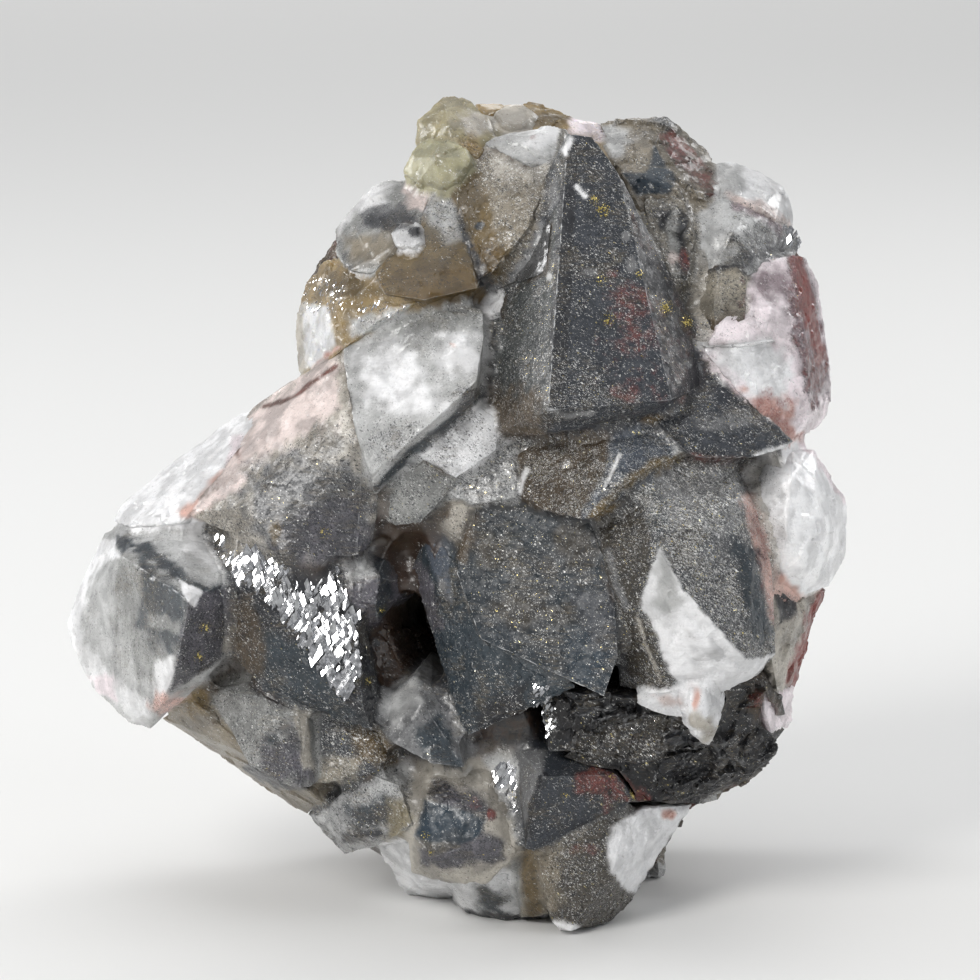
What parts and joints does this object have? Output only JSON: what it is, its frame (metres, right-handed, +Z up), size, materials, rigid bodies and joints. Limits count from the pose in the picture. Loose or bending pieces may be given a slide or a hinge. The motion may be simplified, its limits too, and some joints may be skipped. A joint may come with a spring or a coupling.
{
  "type": "mineral specimen",
  "caption": "Cluster of intergrown calcite crystals, grey with hematite inclusions, on a crust of dark red rock, standing upright.",
  "frame": {"origin": "centre of the specimen's bounding box, at the level of the feet it rests on", "axes": "+Z up, -Y toward the side with the large crystals, +X to the right when that side is faced"},
  "size_m": [0.099, 0.0629, 0.1014],
  "materials": {
    "grey_calcite": "vitreous, speckled with dark inclusions, white and honey in places",
    "dark_red_rock": "rough, dull, stained with hematite"
  },
  "bodies": {
    "root": {"calcite_cluster": "grey_calcite", "host_rock": "dark_red_rock"}
  },
  "joints": []
}
